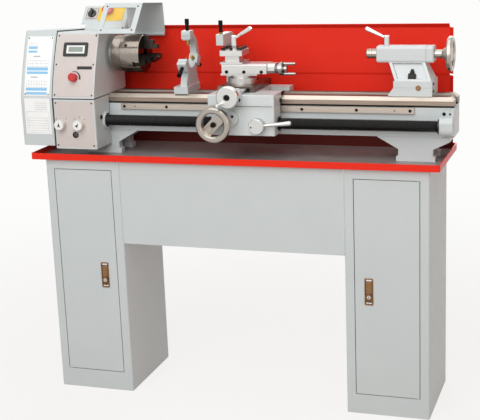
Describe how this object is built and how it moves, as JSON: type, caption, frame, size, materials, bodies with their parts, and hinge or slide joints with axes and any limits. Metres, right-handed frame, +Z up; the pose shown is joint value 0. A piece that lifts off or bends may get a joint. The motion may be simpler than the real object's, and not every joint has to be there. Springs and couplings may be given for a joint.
{
  "type": "bench lathe on stand",
  "caption": "Metalworking bench lathe with chuck, carriage, compound slide and tailstock on a slotted bed, over a chip tray and splash guard carried by sheet cabinets with doors.",
  "frame": {"origin": "on the floor under the middle of the whole machine's box", "axes": "+X from headstock to tailstock, -Y towards the operator, +Z up"},
  "size_m": [1.405, 0.442, 1.2967],
  "materials": {
    "enamel": "light blue-grey enamel",
    "red_enamel": "glossy red enamel",
    "dark_plate": "dark enamel",
    "ground_steel": "ground steel",
    "jaw_steel": "blackened hardened steel",
    "aluminium": "satin turned aluminium",
    "bright_steel": "bright steel",
    "brass": "turned brass",
    "black_rubber": "black pleated sleeve",
    "black_plastic": "matt black plastic",
    "grey_plastic": "light grey plastic",
    "red_plastic": "red plastic",
    "clear_pane": "clear polycarbonate"
  },
  "bodies": {
    "frame": {"left_cabinet": "enamel", "right_cabinet": "enamel", "knee_panel": "enamel", "chip_tray": "red_enamel", "splash_guard": "red_enamel", "bed": "enamel", "feed_rack": "ground_steel", "headstock": "enamel", "feed_gearbox": "enamel", "end_plate": "dark_plate", "end_cover": "enamel", "electrical_box": "enamel", "leadscrew_bracket": "enamel", "drive_motor": "dark_plate", "drive_belt": "black_rubber", "spindle_bearings": "ground_steel", "bellows_left": "black_rubber", "bellows_right": "black_rubber"},
    "spindle_group": {"spindle": "ground_steel", "spindle_pulley": "ground_steel", "chuck_body": "ground_steel"},
    "carriage": {"saddle": "enamel", "apron": "enamel", "follow_rest": "enamel"},
    "steady_rest": {"steady_frame": "enamel"},
    "tailstock": {"tailstock_base": "enamel", "tailstock_body": "enamel"},
    "hood": {"chuck_guard": "enamel", "guard_window": "clear_pane"},
    "jaw_1": {"jaw_1": "jaw_steel"},
    "jaw_2": {"jaw_2": "jaw_steel"},
    "jaw_3": {"jaw_3": "jaw_steel"},
    "motor_pulley": {"motor_pulley": "ground_steel"},
    "leadscrew": {"leadscrew": "ground_steel"},
    "apron_handwheel": {"apron_handwheel": "aluminium"},
    "feed_lever": {"feed_lever": "aluminium"},
    "cross_slide": {"cross_slide": "ground_steel"},
    "cross_handwheel": {"cross_handwheel": "aluminium"},
    "swivel_base": {"swivel_base": "ground_steel"},
    "compound_slide": {"compound_slide": "ground_steel"},
    "compound_handle": {"compound_handle": "aluminium"},
    "tool_post": {"tool_post": "ground_steel"},
    "tool_post_lever": {"tool_post_lever": "bright_steel"},
    "quill": {"quill": "ground_steel"},
    "tailstock_handwheel": {"tailstock_handwheel": "aluminium"},
    "quill_lever": {"quill_lever": "bright_steel"},
    "left_door": {"left_door": "enamel"},
    "right_door": {"right_door": "enamel"},
    "left_latch": {"left_latch": "bright_steel"},
    "right_latch": {"right_latch": "bright_steel"},
    "selector_left": {"selector_left": "grey_plastic"},
    "selector_right": {"selector_right": "grey_plastic"},
    "speed_knob": {"speed_knob": "red_plastic"},
    "power_switch": {"power_switch": "black_plastic"},
    "estop_button": {"estop_button": "red_plastic"},
    "follow_finger_top": {"follow_finger_top": "brass"},
    "follow_finger_rear": {"follow_finger_rear": "brass"},
    "steady_finger_1": {"steady_finger_1": "brass"},
    "steady_finger_2": {"steady_finger_2": "brass"},
    "steady_finger_3": {"steady_finger_3": "brass"}
  },
  "joints": [
    {"name": "spindle_turn", "type": "hinge", "parent": "frame", "child": "spindle_group", "pos_m": [-0.4335, 0.026, 1.128], "axis": [1, 0, 0], "continuous": true},
    {"name": "motor_turn", "type": "hinge", "parent": "frame", "child": "motor_pulley", "pos_m": [-0.6275, 0.127, 0.942], "axis": [1, 0, 0], "continuous": true},
    {"name": "leadscrew_turn", "type": "hinge", "parent": "frame", "child": "leadscrew", "pos_m": [0, -0.066, 0.92], "axis": [1, 0, 0], "continuous": true},
    {"name": "jaw_1_slide", "type": "slide", "parent": "spindle_group", "child": "jaw_1", "axis": [0, 0, 1], "range_m": [-0.006, 0.006]},
    {"name": "jaw_2_slide", "type": "slide", "parent": "spindle_group", "child": "jaw_2", "axis": [0, -0.866, -0.5], "range_m": [-0.006, 0.006]},
    {"name": "jaw_3_slide", "type": "slide", "parent": "spindle_group", "child": "jaw_3", "axis": [0, 0.866, -0.5], "range_m": [-0.006, 0.006]},
    {"name": "carriage_slide", "type": "slide", "parent": "frame", "child": "carriage", "axis": [1, 0, 0], "range_m": [-0.06, 0.12], "deforming": ["bellows_left", "bellows_right"]},
    {"name": "apron_wheel_turn", "type": "hinge", "parent": "carriage", "child": "apron_handwheel", "pos_m": [-0.0235, -0.114, 0.931], "axis": [0, -1, 0], "range_deg": [-581, 293]},
    {"name": "feed_lever_turn", "type": "hinge", "parent": "carriage", "child": "feed_lever", "pos_m": [0.1045, -0.114, 0.921], "axis": [0, -1, 0], "range_deg": [-20, 30]},
    {"name": "cross_wheel_turn", "type": "hinge", "parent": "carriage", "child": "cross_handwheel", "pos_m": [0.0235, -0.121, 1.016], "axis": [0, -1, 0], "range_deg": [-1205, 3605]},
    {"name": "cross_slide_travel", "type": "slide", "parent": "carriage", "child": "cross_slide", "axis": [0, -1, 0], "range_m": [-0.01, 0.03]},
    {"name": "swivel_turn", "type": "hinge", "parent": "cross_slide", "child": "swivel_base", "pos_m": [0.0165, 0.011, 1.0363], "axis": [0, 0, 1], "range_deg": [-30, 30]},
    {"name": "compound_travel", "type": "slide", "parent": "swivel_base", "child": "compound_slide", "axis": [1, 0, 0], "range_m": [-0.015, 0.035]},
    {"name": "compound_handle_turn", "type": "hinge", "parent": "compound_slide", "child": "compound_handle", "pos_m": [0.1095, 0.011, 1.0816], "axis": [1, 0, 0], "range_deg": [-2710, 6310]},
    {"name": "tool_post_turn", "type": "hinge", "parent": "compound_slide", "child": "tool_post", "pos_m": [-0.0075, 0.011, 1.0999], "axis": [0, 0, 1], "range_deg": [-90, 90]},
    {"name": "tool_post_lever_turn", "type": "hinge", "parent": "compound_slide", "child": "tool_post_lever", "pos_m": [-0.0075, 0.011, 1.1432], "axis": [0, 0, 1], "range_deg": [-60, 60]},
    {"name": "follow_finger_top_slide", "type": "slide", "parent": "carriage", "child": "follow_finger_top", "axis": [0, 0, 1], "range_m": [-0.005, 0.005]},
    {"name": "follow_finger_rear_slide", "type": "slide", "parent": "carriage", "child": "follow_finger_rear", "axis": [0, 1, 0], "range_m": [-0.005, 0.005]},
    {"name": "steady_finger_1_slide", "type": "slide", "parent": "steady_rest", "child": "steady_finger_1", "axis": [0, 0, 1], "range_m": [-0.005, 0.005]},
    {"name": "steady_finger_2_slide", "type": "slide", "parent": "steady_rest", "child": "steady_finger_2", "axis": [0, -0.8387, -0.5446], "range_m": [-0.005, 0.005]},
    {"name": "steady_finger_3_slide", "type": "slide", "parent": "steady_rest", "child": "steady_finger_3", "axis": [0, 0.891, -0.454], "range_m": [-0.005, 0.005]},
    {"name": "steady_travel", "type": "slide", "parent": "frame", "child": "steady_rest", "axis": [1, 0, 0], "range_m": [-0.06, 0]},
    {"name": "tailstock_travel", "type": "slide", "parent": "frame", "child": "tailstock", "axis": [1, 0, 0], "range_m": [-0.1, 0]},
    {"name": "tailstock_wheel_turn", "type": "hinge", "parent": "tailstock", "child": "tailstock_handwheel", "pos_m": [0.6325, 0.026, 1.128], "axis": [1, 0, 0], "range_deg": [-5, 7210]},
    {"name": "quill_travel", "type": "slide", "parent": "tailstock", "child": "quill", "axis": [-1, 0, 0], "range_m": [0, 0.06]},
    {"name": "quill_lever_turn", "type": "hinge", "parent": "tailstock", "child": "quill_lever", "pos_m": [0.4835, 0.026, 1.1538], "axis": [0, 0, 1], "range_deg": [-45, 45]},
    {"name": "hood_turn", "type": "hinge", "parent": "frame", "child": "hood", "pos_m": [-0.4325, 0.148, 1.178], "axis": [1, 0, 0], "range_deg": [-20, 25]},
    {"name": "left_door_turn", "type": "hinge", "parent": "frame", "child": "left_door", "pos_m": [-0.5925, -0.145, 0.067], "axis": [0, 0, 1], "range_deg": [-100, 0]},
    {"name": "left_latch_turn", "type": "hinge", "parent": "left_door", "child": "left_latch", "pos_m": [-0.4385, -0.149, 0.393], "axis": [0, -1, 0], "range_deg": [0, 90]},
    {"name": "right_door_turn", "type": "hinge", "parent": "frame", "child": "right_door", "pos_m": [0.6115, -0.145, 0.067], "axis": [0, 0, 1], "range_deg": [0, 100]},
    {"name": "right_latch_turn", "type": "hinge", "parent": "right_door", "child": "right_latch", "pos_m": [0.4575, -0.149, 0.393], "axis": [0, -1, 0], "range_deg": [-90, 0]},
    {"name": "selector_left_turn", "type": "hinge", "parent": "frame", "child": "selector_left", "pos_m": [-0.5585, -0.149, 0.918], "axis": [0, -1, 0], "range_deg": [-60, 60]},
    {"name": "selector_right_turn", "type": "hinge", "parent": "frame", "child": "selector_right", "pos_m": [-0.4925, -0.149, 0.918], "axis": [0, -1, 0], "range_deg": [-60, 60]},
    {"name": "speed_knob_turn", "type": "hinge", "parent": "frame", "child": "speed_knob", "pos_m": [-0.5115, -0.13136, 1.068], "axis": [0, -0.9549, 0.2968], "range_deg": [-270, 0]},
    {"name": "power_switch_turn", "type": "hinge", "parent": "frame", "child": "power_switch", "pos_m": [-0.5705, 0.16664, 1.24515], "axis": [0, -0.7629, 0.6465], "range_deg": [-90, 0]},
    {"name": "estop_press", "type": "slide", "parent": "frame", "child": "estop_button", "axis": [0, 0.7629, -0.6465], "range_m": [0, 0.004], "stiffness_N_per_m": 900, "springref_m": -0.002}
  ],
  "couplings": [
    {"joint": "motor_turn", "follows": "spindle_turn", "ratio": 1.9167},
    {"joint": "jaw_2_slide", "follows": "jaw_1_slide", "ratio": 1},
    {"joint": "jaw_3_slide", "follows": "jaw_1_slide", "ratio": 1},
    {"joint": "apron_wheel_turn", "follows": "carriage_slide", "rad_per_m": -83.776},
    {"joint": "cross_wheel_turn", "follows": "cross_slide_travel", "rad_per_m": 2094.4},
    {"joint": "compound_handle_turn", "follows": "compound_travel", "rad_per_m": 3141.6},
    {"joint": "tailstock_wheel_turn", "follows": "quill_travel", "rad_per_m": 2094.4}
  ]
}
